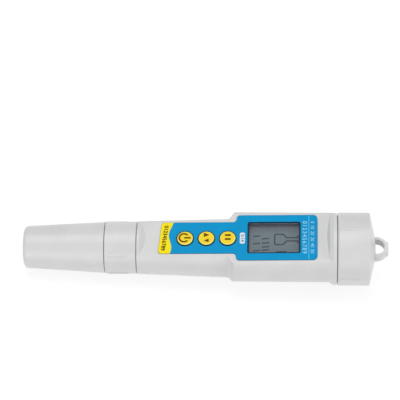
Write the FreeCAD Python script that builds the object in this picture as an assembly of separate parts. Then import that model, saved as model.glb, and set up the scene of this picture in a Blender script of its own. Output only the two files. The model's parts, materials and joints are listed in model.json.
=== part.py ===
import FreeCAD, Part
import math
import os

# A pen-style water quality tester, in millimetres. X runs from the flat end of the
# sensor cap to the lanyard lug, Y to the back, and Z up through the label.
# The origin is the centre of the sensor cap's flat end.

Vector = FreeCAD.Vector
ORIGIN = Vector(0, 0, 0)
ALONG = Vector(1, 0, 0)
ACROSS = Vector(0, 1, 0)
UP = Vector(0, 0, 1)

# Clearances that the pieces share
slide_gap = 0.3
seam_gap = 0.35
seat_gap = 0.1
drop_in_gap = 0.2
thread_depth = 0.6

# Lengths along the pen
cap_length = 42.0
collar_length = 16.3
handle_length = 46.6
shoulder_length = 4.4
shoulder_steps = 4
battery_cap_length = 16.5
battery_cap_dome = 2.5
lug_reach = 7.2

# Probe, from its spigot outwards to the collar that holds it
spigot_r = 10.2
probe_flange_step = 1.4
collar_wall = 1.6
collar_lip = 2.65
probe_flange = 2.2
nose_seal_height = 1.0
nose_wall = 2.3
spigot_length = 11.4
barrel_gap = 0.85
guard_length = 10.0
guard_wall = 1.4
guard_slot = 3.2
guard_slot_count = 4
probe_tip_x = 8.0
probe_tail = 9.8
key_width = 2.0
key_height = 1.1
electrode_r = 0.9
electrode_spread = 3.1
electrode_stand = 5.6
electrode_root = 3.0
electrode_tip_bevel = 0.4
thermistor_r = 1.5
thermistor_drop = 2.9
plug_pin_count = 6
plug_pin_half = 0.45
plug_pin_length = 4.5
plug_circle_r = 5.0
ring_seal_r = 0.85
seal_groove_depth = 1.6
seal_slack = 0.04
seal_proud = 0.08

# Sensor cap
cap_step = 0.3
cap_taper = 2.35
cap_wall = 2.0
cap_end_wall = 2.2
cap_mouth_depth = 8.4
cap_edge_round = 1.5

# Collar ring grips
collar_rib_count = 6
collar_rib_width = 1.3
collar_rib_height = 0.4
collar_rib_inset = 1.2
collar_rib_end_inset = 4.7
collar_rib_turn = 11.0
rib_bevel_share = 0.6

# Housing
housing_wall = 2.0
handle_step = 0.15
handle_flare = 1.5
flat_depth = 4.69
flat_rise = 0.0234
handle_edge_r = 1.2
head_edge_r = 2.2
bevel_count = 3
cheek_share = 0.45
front_land = 1.3
front_scoop = 3.6
front_scoop_drop = 5.2
rear_land = 1.8
rear_scoop = 3.3
rear_scoop_drop = 7.7
rear_scoop_knee = 1.9
rear_scoop_knee_drop = 1.4
neck_length = 10.9
neck_wall = 1.8
socket_ledge = 2.2
socket_length = 4.5

# Label and the openings under it
label_thickness = 0.5
label_recess = 0.35
label_front = 11.1
label_slant = 1.5
label_narrow_half = 9.4
label_wide_half = 13.6
label_step_inset = 0.4
label_rear_margin = 8.6
label_corner_r = 1.8
label_rear_corner_r = 2.6
label_step_r = 1.9
window_inset = 6.0
window_to_flange = 18.7
window_length = 27.4
window_width = 19.1
window_corner_r = 1.0
lens_margin = 1.0
lens_thickness = 0.75

# Buttons, named from the sensor end
button_names = ("button_power", "button_mode", "button_hold")
button_to_window = 10.1
button_pitch = 11.0
button_side = -0.4
button_r = 4.0
button_groove = 0.65
button_rise = 0.95
button_edge_bevel = 0.45
button_travel = 0.7
button_flange_step = 0.9
button_flange = 0.6
mat_thickness = 0.8
mat_margin = 2.6
switch_side = 6.0
switch_height = 1.25
plunger_r = 1.6
plunger_height = 0.6

# Display stack and circuit board, below the flat
lcd_margin = 1.3
lcd_thickness = 1.8
display_frame_wall = 1.2
zebra_width = 1.6
zebra_height = 2.0
zebra_inset = 0.2
board_thickness = 1.2
board_side_gap = 0.9
board_to_bay = 2.3
board_nose_half = 6.0
board_nose_length = 6.0
chip_side = 9.0
chip_height = 1.4
chip_to_window = 19.0
crystal_r = 1.7
crystal_length = 7.5
crystal_to_front = 10.3
trimmer_side = 6.4
trimmer_height = 4.2
trimmer_length = 5.6
trimmer_screw_r = 1.7
trimmer_screw_length = 1.2
trimmer_slot = 0.5

# Battery bay
cell_count = 4
cell_r = 5.8
cell_height = 5.4
cell_lip_r = 4.6
cell_lip = 0.7
carrier_wall = 1.2
carrier_end_wall = 0.8
contact_thickness = 0.4
spring_room = 2.4
bay_floor = 1.6
bay_disc = 2.0
bay_rim = 2.1
bay_rail = 1.1
bay_rail_height = 8.0
bay_screw_rim_gap = 0.15
bay_screw_drop = 4.0
bay_boss_r = 2.2
bay_boss_length = 9.0
bay_screw_r = 0.8
bay_screw_head_r = 1.6
bay_screw_head = 1.2
bay_screw_length = 7.0
pull_tab_length = 2.6
pull_tab_width = 5.0
pull_tab_height = 1.4

# Battery cap and its lug
battery_cap_wall = 2.85
battery_cap_gap = 0.4
battery_cap_bevel = 0.8
battery_cap_inner_length = 15.4
battery_cap_rib_count = 4
battery_cap_rib_width = 1.2
battery_cap_rib_height = 0.3
battery_cap_rib_inset = 0.9
battery_cap_rib_length = 10.6
cap_seal_r = 0.9
dome_end_r = 7.0
lug_thickness = 5.0
lug_outer_r = 5.9
lug_hole_r = 4.4
lug_hole_flat = 0.4
lug_tab_width = 6.0
lug_tab_bevel = 0.6

# Places along the flat, counted from the housing's front end
head_front = handle_length + shoulder_length
window_front = head_front + window_inset
window_rear = window_front + window_length
head_length = window_inset + window_length + window_to_flange
label_step_at = head_front + label_step_inset
label_rear = window_rear + label_rear_margin
button_last = window_front - button_to_window
button_first = button_last - (len(button_names) - 1) * button_pitch

# Stations along the pen that follow from the lengths
collar_x = cap_length + seam_gap
collar_end_x = collar_x + collar_length
body_x = collar_end_x + seam_gap
shoulder_x = body_x + handle_length
head_x = shoulder_x + shoulder_length
flange_x = head_x + head_length
neck_end_x = flange_x + neck_length
battery_cap_x = flange_x + battery_cap_gap
battery_rim_x = battery_cap_x + battery_cap_length
dome_end_x = battery_rim_x + battery_cap_dome
lug_end_x = dome_end_x + lug_reach
probe_flange_x = collar_x + collar_lip
probe_flange_end_x = probe_flange_x + probe_flange
nose_x = probe_flange_end_x + nose_seal_height
spigot_x = probe_flange_x - spigot_length
probe_tail_x = probe_flange_end_x + probe_tail
socket_x = probe_tail_x + seam_gap
socket_end_x = socket_x + socket_length
board_front = socket_end_x - body_x + seat_gap

# Radii of the sensor end
collar_bore_r = spigot_r + probe_flange_step + slide_gap
collar_r = collar_bore_r + collar_wall
cap_mouth_r = collar_r - cap_step
cap_end_r = cap_mouth_r - cap_taper
barrel_r = cap_end_r - cap_wall - barrel_gap
nose_r = collar_bore_r - thread_depth
nose_bore_r = nose_r - nose_wall
probe_tail_r = nose_bore_r - slide_gap
handle_front_r = collar_r + handle_step
handle_rear_r = handle_front_r + handle_flare
handle_inner_r = handle_front_r - housing_wall

# Levels below the flat, measured along its normal
mat_top = -housing_wall - seat_gap / 2
mat_bottom = mat_top - mat_thickness
button_flange_top = mat_bottom - seat_gap
button_bottom = button_flange_top - button_flange
plunger_top = button_bottom - button_travel - seat_gap
board_top = plunger_top - plunger_height - switch_height
board_bottom = board_top - board_thickness
lcd_bottom = board_top + zebra_height
lcd_top = lcd_bottom + lcd_thickness

# The flat's own frame: x along the flat from the housing's front end, z out of it
flat_front_z = handle_front_r - flat_depth
flat_tilt = math.degrees(math.atan(flat_rise))
flat_frame = FreeCAD.Placement(
    Vector(body_x, 0, flat_front_z), FreeCAD.Rotation(ACROSS, -flat_tilt)
)

# The stack of cells lies under the board, and the head is as large as the stack needs
bay_disc_x = flange_x - rear_land - bay_disc
cell_end_x = bay_disc_x + bay_disc + carrier_end_wall
cell_front_x = cell_end_x - cell_count * cell_height
carrier_r = cell_r + carrier_wall
board_rear = bay_disc_x - body_x - board_to_bay
bay_wall_x = cell_front_x - spring_room
stack_clear = 0.6
board_underside_z = flat_front_z + (bay_wall_x - body_x) * flat_rise + board_bottom
stack_z = board_underside_z - stack_clear - carrier_r
belly_depth = housing_wall + slide_gap + carrier_r - stack_z
bay_slot_r = carrier_r + slide_gap
neck_bore_r = bay_rim + bay_slot_r - stack_z
neck_r = neck_bore_r + neck_wall
bay_screw_reach = neck_bore_r - bay_screw_head_r - bay_screw_rim_gap
bay_screw_side = math.sqrt(bay_screw_reach**2 - bay_screw_drop**2)
battery_bore_r = neck_r + thread_depth
battery_cap_r = battery_bore_r + battery_cap_wall
head_r = battery_cap_r - handle_step


def flat_height(x):
    """Height of the label flat above the pen's axis at station x."""
    return flat_front_z + (x - body_x) * flat_rise


def on_flat(shape):
    """Moves a shape from the flat's own frame to its place on the pen."""
    placed = shape.copy()
    placed.Placement = flat_frame.multiply(shape.Placement)
    return placed


def turned(points):
    """Solid of revolution about the pen's axis; points are (station, radius)."""
    outline = [Vector(x, 0, r) for x, r in points]
    face = Part.Face(Part.makePolygon(outline + outline[:1]))
    return face.revolve(ORIGIN, ALONG, 360)


def disc(x, length, radius, y=0.0, z=0.0):
    """Cylinder along X that starts at station x."""
    return Part.makeCylinder(radius, length, Vector(x, y, z), ALONG)


def post(x, y, bottom, top, radius):
    """Cylinder along Z in the flat's frame."""
    return Part.makeCylinder(radius, top - bottom, Vector(x, y, bottom), UP)


def block(x0, x1, y0, y1, z0, z1):
    """Box between two corners."""
    return Part.makeBox(x1 - x0, y1 - y0, z1 - z0, Vector(x0, y0, z0))


def rounded_outline(corners, z=0.0):
    """Closed wire of straight runs and corner arcs; corners are (x, y, radius)."""
    edges = []
    joints = []
    count = len(corners)
    for i, (x, y, radius) in enumerate(corners):
        here = Vector(x, y, z)
        before = Vector(corners[i - 1][0], corners[i - 1][1], z) - here
        after = Vector(corners[(i + 1) % count][0], corners[(i + 1) % count][1], z) - here
        before.normalize()
        after.normalize()
        half = before.getAngle(after) / 2
        reach = radius / math.tan(half)
        middle = (before + after).normalize() * (radius / math.sin(half) - radius)
        joints.append((here + before * reach, here + middle, here + after * reach))
    for i, (start, middle, end) in enumerate(joints):
        edges.append(Part.Arc(start, middle, end).toShape())
        edges.append(Part.makeLine(end, joints[(i + 1) % count][0]))
    return Part.Wire(edges)


def plate(corners, bottom, top):
    """Prism over a rounded outline, between two levels."""
    return Part.Face(rounded_outline(corners, bottom)).extrude(UP * (top - bottom))


def rounded_box(x0, x1, half_width, radius, bottom, top):
    """Prism over a rounded rectangle centred on the flat's middle line."""
    corners = (
        (x0, -half_width, radius),
        (x1, -half_width, radius),
        (x1, half_width, radius),
        (x0, half_width, radius),
    )
    return plate(corners, bottom, top)


def barrel_face(x, side_r, belly):
    """Upright face at station x: a half circle over a belly of three tangent arcs."""
    cheek_r = side_r * cheek_share
    reach = side_r - cheek_r
    belly_r = (reach**2 + belly**2 - cheek_r**2) / (2 * (belly - cheek_r))
    lean = math.atan2(reach, belly_r - belly)
    half = lean / 2 + math.pi / 4
    top = Vector(x, 0, side_r)
    low = Vector(x, 0, -belly)
    edges = []
    for side in (1, -1):
        waist = Vector(x, side * side_r, 0)
        cheek_y = reach + cheek_r * math.sin(half)
        cheek = Vector(x, side * cheek_y, -cheek_r * math.cos(half))
        join_y = reach + cheek_r * math.sin(lean)
        join = Vector(x, side * join_y, -cheek_r * math.cos(lean))
        bottom_y = belly_r * math.sin(lean / 2)
        bottom_z = belly_r - belly - belly_r * math.cos(lean / 2)
        bottom = Vector(x, side * bottom_y, bottom_z)
        crown = Vector(x, side * side_r * math.sin(math.pi / 4), side_r * math.cos(math.pi / 4))
        edges.append(Part.Arc(top, crown, waist).toShape())
        edges.append(Part.Arc(waist, cheek, join).toShape())
        edges.append(Part.Arc(join, bottom, low).toShape())
    return Part.Face(Part.Wire(Part.sortEdges(edges)[0]))


def above_flat(level):
    """Everything above a level of the flat's frame, as a tool to cut with."""
    reach = lug_end_x
    return on_flat(block(-reach, reach, -reach, reach, level, reach))


def edge_bevels(x0, x1, r0, r1, edge_r):
    """Planes that round off the flat's two long edges between two stations."""
    ends = []
    for x, side_r in ((x0, r0), (x1, r1)):
        height = flat_height(x)
        across = math.sqrt((side_r - edge_r) ** 2 - (height - edge_r) ** 2)
        lean = math.degrees(math.atan2(across, height - edge_r))
        ends.append((x - body_x, across, lean))
    yaw = math.degrees(math.atan2(ends[1][1] - ends[0][1], ends[1][0] - ends[0][0]))
    reach = head_r
    tools = []
    for side in (1, -1):
        for i in range(1, bevel_count + 1):
            turn = ends[0][2] * i / (bevel_count + 1)
            tool = block(-1, ends[1][0] - ends[0][0] + 1, -reach, reach, edge_r, edge_r + reach)
            tool.rotate(ORIGIN, ALONG, -side * turn)
            tool.rotate(ORIGIN, UP, side * yaw)
            tool.translate(Vector(ends[0][0], side * ends[0][1], -edge_r))
            tools.append(on_flat(tool))
    return tools


def make_outer_form():
    """The round handle and the flat-bellied head, with the flat along both."""
    handle = turned(
        [
            (body_x, 0),
            (body_x, handle_front_r),
            (shoulder_x, handle_rear_r),
            (head_x, belly_depth - seam_gap),
            (head_x, 0),
        ]
    )
    handle_bevels = edge_bevels(
        body_x, shoulder_x, handle_front_r, handle_rear_r, handle_edge_r
    )
    swell_points = [(shoulder_x - seam_gap, 0)]
    for i in range(shoulder_steps + 1):
        share = i / shoulder_steps
        swell = share * share * (3 - 2 * share)
        x = shoulder_x - seam_gap + share * (shoulder_length + seam_gap)
        swell_r = handle_rear_r - seam_gap + swell * (head_r - handle_rear_r + 2 * seam_gap)
        swell_points.append((x, swell_r))
    swell_points.append((flange_x, head_r + seam_gap))
    swell_points.append((flange_x, 0))
    prism_x = shoulder_x - housing_wall
    prism = barrel_face(prism_x, head_r, belly_depth).extrude(ALONG * (flange_x - prism_x))
    head = prism.common(turned(swell_points))
    head_bevels = edge_bevels(head_x, flange_x, head_r, head_r, head_edge_r)
    return handle.cut(handle_bevels).fuse(head.cut(head_bevels)).cut(above_flat(0))


def label_outline(grow):
    """Corners of the label, or of the recess around it when grown."""
    narrow = label_narrow_half + grow
    wide = label_wide_half + grow
    front = label_front - grow
    step = label_step_at - grow
    rear = label_rear + grow
    back_front = front + label_slant
    return (
        (front, -narrow, label_corner_r),
        (step, -narrow, label_step_r),
        (step, -wide, label_step_r),
        (rear, -wide, label_rear_corner_r),
        (rear, wide, label_rear_corner_r),
        (step, wide, label_step_r),
        (step, narrow, label_step_r),
        (back_front, narrow, label_corner_r),
    )


def button_places():
    """Centres of the buttons in the flat's frame."""
    return [
        (button_first + i * button_pitch, button_side) for i in range(len(button_names))
    ]


def bay_screw_places():
    """Centres of the battery bay's two screws, as (across, up)."""
    return [(-bay_screw_side, -bay_screw_drop), (bay_screw_side, -bay_screw_drop)]


def around_axis(shape, count, first):
    """Copies of a shape, evenly spaced about the pen's axis."""
    copies = []
    for i in range(count):
        copy = shape.copy()
        copy.rotate(ORIGIN, ALONG, -first - i * 360 / count)
        copies.append(copy)
    return copies


def grip_rib(x0, x1, width, surface_r, height):
    """A low bevelled rib on top of a round surface."""
    sunk = 2 * height
    rib = block(x0, x1, -width / 2, width / 2, surface_r - sunk, surface_r + height)
    rims = [edge for edge in rib.Edges if edge.CenterOfMass.z > surface_r + height / 2]
    top_rims = [edge for edge in rims if edge.BoundBox.ZLength < height / 2]
    return rib.makeChamfer(height * rib_bevel_share, top_rims)


def seal_ring(x, length, inner_r, outer_r):
    """A square-cut seal ring about the pen's axis."""
    return disc(x, length, outer_r).cut(disc(x, length, inner_r))


def make_sensor_cap():
    bevel = cap_edge_round
    mouth_bore_r = spigot_r + slide_gap
    well_r = cap_end_r - cap_wall
    mouth_x = cap_length - cap_mouth_depth
    return turned(
        [
            (0, 0),
            (0, cap_end_r - bevel),
            (bevel / 3, cap_end_r - bevel / 3),
            (bevel, cap_end_r + bevel * cap_taper / cap_length),
            (cap_length, cap_mouth_r),
            (cap_length, mouth_bore_r),
            (mouth_x, mouth_bore_r),
            (mouth_x, well_r),
            (cap_end_wall, well_r),
            (cap_end_wall, 0),
        ]
    )


def make_collar_ring():
    lip_bore_r = spigot_r + slide_gap
    bevel = seam_gap
    collar = turned(
        [
            (collar_x, lip_bore_r),
            (collar_x, collar_r - bevel),
            (collar_x + bevel, collar_r),
            (collar_end_x - bevel, collar_r),
            (collar_end_x, collar_r - bevel),
            (collar_end_x, collar_bore_r),
            (probe_flange_x, collar_bore_r),
            (probe_flange_x, lip_bore_r),
        ]
    )
    rib = grip_rib(
        collar_x + collar_rib_inset,
        collar_end_x - collar_rib_end_inset,
        collar_rib_width,
        collar_r,
        collar_rib_height,
    )
    return collar.fuse(around_axis(rib, collar_rib_count, collar_rib_turn))


def make_probe_body():
    barrel_bore_r = barrel_r - guard_wall
    groove_r = spigot_r - seal_groove_depth
    groove_x = cap_length - cap_mouth_depth / 2
    guard_end_x = probe_tip_x + guard_length
    tip_round = guard_wall / 2
    body = turned(
        [
            (probe_tip_x, barrel_bore_r),
            (probe_tip_x, barrel_r - tip_round),
            (probe_tip_x + tip_round, barrel_r),
            (spigot_x, barrel_r),
            (spigot_x, spigot_r),
            (groove_x - ring_seal_r, spigot_r),
            (groove_x - ring_seal_r, groove_r),
            (groove_x + ring_seal_r, groove_r),
            (groove_x + ring_seal_r, spigot_r),
            (probe_flange_x, spigot_r),
            (probe_flange_x, spigot_r + probe_flange_step),
            (probe_flange_end_x, spigot_r + probe_flange_step),
            (probe_flange_end_x, probe_tail_r),
            (probe_tail_x, probe_tail_r),
            (probe_tail_x, 0),
            (guard_end_x, 0),
            (guard_end_x, barrel_bore_r),
        ]
    )
    slot = block(
        probe_tip_x - 1, guard_end_x - guard_wall, -guard_slot / 2, guard_slot / 2, 0, spigot_r
    )
    slots = around_axis(slot, guard_slot_count, 180 / guard_slot_count)
    key = block(
        nose_x + seam_gap,
        probe_tail_x - slide_gap,
        -key_width / 2,
        key_width / 2,
        probe_tail_r - key_height,
        probe_tail_r + key_height,
    )
    roots = [(-electrode_spread, 0, electrode_r), (electrode_spread, 0, electrode_r)]
    roots.append((0, thermistor_drop, thermistor_r))
    bores = [disc(guard_end_x - 1, electrode_root + 1, r, y, z) for y, z, r in roots]
    return body.cut(slots + bores).fuse(key)


def make_electrode(y):
    """A conductivity pin with a bevelled tip, set in the probe's face."""
    tip_x = probe_tip_x + guard_length - electrode_stand
    pin = disc(tip_x, electrode_stand + electrode_root, electrode_r, y)
    tip = [edge for edge in pin.Edges if edge.BoundBox.XMax < tip_x + seat_gap]
    return pin.makeChamfer(electrode_tip_bevel, tip)


def make_thermistor_tube():
    tip_x = probe_tip_x + guard_length - electrode_stand
    tube = disc(tip_x, electrode_stand + electrode_root, thermistor_r, 0, thermistor_drop)
    tip = [edge for edge in tube.Edges if edge.BoundBox.XMax < tip_x + seat_gap]
    return tube.makeChamfer(thermistor_r / 2, tip)


def plug_pin_places():
    """Centres of the plug's pins about the pen's axis, as (across, up)."""
    places = []
    for i in range(plug_pin_count):
        angle = 2 * math.pi * i / plug_pin_count
        places.append((plug_circle_r * math.cos(angle), plug_circle_r * math.sin(angle)))
    return places


def square_bar(x, length, half, y, z):
    """Square bar along X about the line through (y, z)."""
    return block(x, x + length, y - half, y + half, z - half, z + half)


def make_probe_plug():
    """Square contact pins in a thin carrier disc at the probe's tail."""
    pins = [
        square_bar(probe_tail_x, plug_pin_length, plug_pin_half, y, z)
        for y, z in plug_pin_places()
    ]
    base = disc(probe_tail_x, seam_gap / 2, plug_circle_r + 2 * plug_pin_half)
    return base.fuse(pins)


def make_probe_socket():
    holes = [
        square_bar(socket_x - 1, plug_pin_length + 1, plug_pin_half + slide_gap, y, z)
        for y, z in plug_pin_places()
    ]
    return disc(socket_x, socket_length, nose_bore_r - seat_gap).cut(holes)


def make_housing():
    outer = make_outer_form()
    front_ring = turned(
        [
            (body_x, 0),
            (body_x, handle_front_r - seam_gap),
            (body_x + seam_gap, handle_front_r),
            (body_x + front_land, handle_front_r),
            (body_x + front_land + front_scoop, handle_front_r - front_scoop_drop),
            (body_x + front_land + front_scoop, 0),
        ]
    )
    scoop_x = flange_x - rear_land - rear_scoop
    rear_flange = turned(
        [
            (scoop_x, 0),
            (scoop_x, head_r - rear_scoop_drop),
            (flange_x - rear_land - rear_scoop_knee, head_r - rear_scoop_knee_drop),
            (flange_x - rear_land, head_r),
            (flange_x - seam_gap, head_r),
            (flange_x, head_r - seam_gap),
            (flange_x, 0),
        ]
    )
    nose = disc(nose_x, body_x - nose_x + housing_wall, nose_r)
    neck = disc(flange_x, neck_length, neck_r)
    solid = outer.fuse([front_ring, rear_flange, nose, neck])

    cavity_start_x = socket_end_x + socket_ledge
    head_cavity_x = head_x + housing_wall
    handle_cavity = disc(cavity_start_x, head_cavity_x - cavity_start_x, handle_inner_r)
    cavity_face = barrel_face(head_cavity_x, head_r - housing_wall, belly_depth - housing_wall)
    head_cavity = cavity_face.extrude(ALONG * (bay_disc_x - head_cavity_x))
    cavity = handle_cavity.fuse(head_cavity).cut(above_flat(-housing_wall))
    nose_bore = disc(nose_x - 1, socket_end_x - nose_x + 1, nose_bore_r)
    ledge_bore = disc(socket_end_x - 1, socket_ledge + 2, nose_bore_r - nose_wall / 2)
    neck_bore = disc(bay_disc_x, neck_end_x - bay_disc_x + 1, neck_bore_r)
    key_slot = block(
        nose_x - 1,
        probe_tail_x,
        -key_width / 2 - slide_gap,
        key_width / 2 + slide_gap,
        0,
        probe_tail_r + key_height + slide_gap,
    )
    hollow = solid.cut([cavity, nose_bore, ledge_bore, neck_bore, key_slot])

    recess = plate(label_outline(drop_in_gap), -label_recess, housing_wall)
    through = -housing_wall - 1
    lens_seat = -label_recess - lens_thickness
    openings = [recess]
    openings.append(
        rounded_box(
            window_front - lens_margin,
            window_rear + lens_margin,
            window_width / 2 + lens_margin,
            window_corner_r + lens_margin,
            lens_seat,
            housing_wall,
        )
    )
    openings.append(
        rounded_box(
            window_front,
            window_rear,
            window_width / 2,
            window_corner_r,
            through,
            housing_wall,
        )
    )
    for x, y in button_places():
        openings.append(post(x, y, through, housing_wall, button_r + button_groove))
    hollow = hollow.cut([on_flat(opening) for opening in openings])

    bosses = []
    for y, z in bay_screw_places():
        boss = disc(bay_disc_x - bay_boss_length, bay_boss_length, bay_boss_r, y, z)
        web = block(
            bay_disc_x - bay_boss_length,
            bay_disc_x,
            min(y, math.copysign(head_r, y)),
            max(y, math.copysign(head_r, y)),
            z - bay_boss_r / 2,
            z + bay_boss_r / 2,
        )
        bosses.append(boss.fuse(web))
    inner_half = housing_wall / 2
    keep_face = barrel_face(head_x, head_r - inner_half, belly_depth - inner_half)
    inside_head = keep_face.extrude(ALONG * head_length)
    bosses = [boss.common(inside_head) for boss in bosses]
    pilot_x = bay_disc_x + bay_disc - bay_screw_length
    pilot_holes = [
        disc(pilot_x, bay_screw_length, bay_screw_r, y, z) for y, z in bay_screw_places()
    ]
    return hollow.fuse(bosses).cut(pilot_holes)


def make_label():
    bottom = -label_recess
    film = plate(label_outline(0), bottom, bottom + label_thickness)
    holes = [
        rounded_box(
            window_front,
            window_rear,
            window_width / 2,
            window_corner_r,
            bottom - 1,
            bottom + 1,
        )
    ]
    for x, y in button_places():
        holes.append(post(x, y, bottom - 1, bottom + 1, button_r + button_groove))
    return on_flat(film.cut(holes))


def make_display_lens():
    margin = lens_margin - drop_in_gap
    top = -label_recess
    lens = rounded_box(
        window_front - margin,
        window_rear + margin,
        window_width / 2 + margin,
        window_corner_r + margin,
        top - lens_thickness,
        top,
    )
    return on_flat(lens)


def lcd_box(grow, bottom, top):
    """A block around the display glass, grown by a margin."""
    x0 = window_front - lcd_margin - grow
    x1 = window_rear + lcd_margin + grow
    half = window_width / 2 + lcd_margin + grow
    return block(x0, x1, -half, half, bottom, top)


def zebra_strip(side, grow):
    """Contact strip between the display glass and the board, on one side."""
    middle = side * (window_width / 2 + lcd_margin - zebra_inset - zebra_width / 2)
    half = zebra_width / 2 + grow
    x0 = window_front - grow
    x1 = window_rear + grow
    return block(x0, x1, middle - half, middle + half, board_top, lcd_bottom)


def make_display_frame():
    margin = drop_in_gap + display_frame_wall
    frame = lcd_box(margin, board_top, -housing_wall - seat_gap)
    glass_pocket = lcd_box(drop_in_gap, lcd_bottom, 0)
    well_margin = -lcd_margin - 2 * display_frame_wall
    well = lcd_box(well_margin, board_top - 1, 0)
    slots = [zebra_strip(side, drop_in_gap) for side in (-1, 1)]
    return on_flat(frame.cut([glass_pocket, well] + slots))


def make_lcd_panel():
    glass = lcd_box(0, lcd_bottom, lcd_top)
    step = block(
        window_front - lcd_margin,
        window_rear + lcd_margin,
        window_width / 2,
        window_width / 2 + lcd_margin,
        lcd_bottom + lcd_thickness / 2,
        lcd_top,
    )
    return on_flat(glass.cut(step))


def board_half_width(x):
    """Half the board's width, as wide as the housing leaves room at station x."""
    level = max(abs(flat_height(x) + board_top), abs(flat_height(x) + board_bottom))
    return math.sqrt(handle_inner_r**2 - level**2) - board_side_gap


def make_main_board():
    wide_from = board_front + board_nose_length
    half = min(board_half_width(body_x + wide_from), board_half_width(shoulder_x))
    nose_half = min(board_nose_half, half - 1)
    corners = (
        (board_front, -nose_half, 0.5),
        (wide_from, -nose_half, 0.5),
        (wide_from, -half, 1.0),
        (board_rear, -half, 1.0),
        (board_rear, half, 1.0),
        (wide_from, half, 1.0),
        (wide_from, nose_half, 0.5),
        (board_front, nose_half, 0.5),
    )
    return on_flat(plate(corners, board_bottom, board_top))


def make_button(x, y):
    """A key with a bevelled top and a flange that keeps it under the mat."""
    key = post(x, y, button_flange_top, button_rise, button_r)
    rim = [edge for edge in key.Edges if edge.BoundBox.ZMin > button_rise / 2]
    key = key.makeChamfer(button_edge_bevel, rim)
    flange = post(x, y, button_bottom, button_flange_top, button_r + button_flange_step)
    return on_flat(key.fuse(flange))


def make_keypad_mat():
    reach = button_r + mat_margin
    corners = (
        (button_first - reach, button_side - reach, mat_margin),
        (button_last + reach, button_side - reach, mat_margin),
        (button_last + reach, button_side + reach, mat_margin),
        (button_first - reach, button_side + reach, mat_margin),
    )
    mat = plate(corners, mat_bottom, mat_top)
    hole_r = button_r + slide_gap
    holes = [post(x, y, mat_bottom - 1, mat_top + 1, hole_r) for x, y in button_places()]
    return on_flat(mat.cut(holes))


def make_switch(x, y):
    half = switch_side / 2
    case_top = board_top + switch_height
    case = block(x - half, x + half, y - half, y + half, board_top, case_top)
    uprights = [edge for edge in case.Edges if edge.BoundBox.ZLength > switch_height / 2]
    case = case.makeChamfer(half / 6, uprights)
    return on_flat(case.fuse(post(x, y, case_top, plunger_top, plunger_r)))


def make_controller_chip():
    half = chip_side / 2
    bottom = board_bottom - chip_height
    middle = window_front - chip_to_window
    chip = block(middle - half, middle + half, -half, half, bottom, board_bottom)
    rim = [edge for edge in chip.Edges if edge.BoundBox.ZMax < bottom + seat_gap]
    return on_flat(chip.makeChamfer(chip_height / 4, rim))


def make_crystal():
    """A quartz crystal's metal can, lying under the board."""
    level = board_bottom - crystal_r
    x = board_front + crystal_to_front
    can = Part.makeCylinder(crystal_r, crystal_length, Vector(x, 0, level), ALONG)
    pad = block(x, x + crystal_length, -crystal_r / 2, crystal_r / 2, level, board_bottom)
    return on_flat(can.fuse(pad))


def trimmer_axis_level():
    """Height of the trimmer's axis in the flat's frame."""
    return board_top + trimmer_height / 2


def make_trimmer_body():
    x1 = board_rear - trimmer_screw_length
    x0 = x1 - trimmer_length
    half = trimmer_side / 2
    case = block(x0, x1, -half, half, board_top, board_top + trimmer_height)
    well_r = trimmer_screw_r + slide_gap
    well = disc(x1 - trimmer_screw_length, 2 * trimmer_screw_length, well_r, 0, trimmer_axis_level())
    return on_flat(case.cut(well))


def make_trimmer_screw():
    x1 = board_rear
    x0 = x1 - 2 * trimmer_screw_length + seat_gap
    level = trimmer_axis_level()
    screw = disc(x0, x1 - x0, trimmer_screw_r, 0, level)
    slot = block(
        x1 - trimmer_screw_length / 2,
        x1 + 1,
        -trimmer_slot / 2,
        trimmer_slot / 2,
        level - 2 * trimmer_screw_r,
        level + 2 * trimmer_screw_r,
    )
    return on_flat(screw.cut(slot))


def make_bay_frame():
    disc_r = neck_bore_r - slide_gap
    rim_disc = disc(bay_disc_x, bay_disc, disc_r)
    slot = disc(bay_wall_x - 1, bay_disc_x + bay_disc - bay_wall_x + 2, bay_slot_r, 0, stack_z)
    tool_point = flat_frame.multVec(Vector(board_rear, 0, trimmer_axis_level()))
    tool_hole = disc(bay_disc_x - 1, bay_disc + 2, trimmer_screw_r + drop_in_gap, 0, tool_point.z)
    hole_r = bay_screw_r + drop_in_gap
    screw_holes = [disc(bay_disc_x - 1, bay_disc + 2, hole_r, y, z) for y, z in bay_screw_places()]
    rails = []
    for side in (-1, 1):
        inner = bay_slot_r - bay_rail / 2
        outer = bay_slot_r + bay_rail / 2
        rails.append(
            block(
                bay_wall_x - bay_floor,
                bay_disc_x,
                min(side * inner, side * outer),
                max(side * inner, side * outer),
                stack_z - bay_rail_height / 2,
                stack_z + bay_rail_height / 2,
            )
        )
    wall = block(
        bay_wall_x - bay_floor,
        bay_wall_x,
        -bay_slot_r - bay_rail / 2,
        bay_slot_r + bay_rail / 2,
        stack_z - bay_rail_height / 2,
        stack_z + bay_rail_height / 2,
    )
    carved = rim_disc.fuse(rails).cut([slot, tool_hole] + screw_holes)
    return carved.fuse(wall)


def make_bay_screws():
    screws = []
    for y, z in bay_screw_places():
        head_x = bay_disc_x + bay_disc
        shank = disc(head_x - bay_screw_length, bay_screw_length, bay_screw_r - seat_gap / 2, y, z)
        head = disc(head_x, bay_screw_head, bay_screw_head_r, y, z)
        slot = block(
            head_x + bay_screw_head / 2,
            head_x + bay_screw_head + 1,
            y - bay_screw_head_r,
            y + bay_screw_head_r,
            z - bay_screw_r / 4,
            z + bay_screw_r / 4,
        )
        screws.append(shank.fuse(head).cut(slot))
    return Part.makeCompound(screws)


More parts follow.
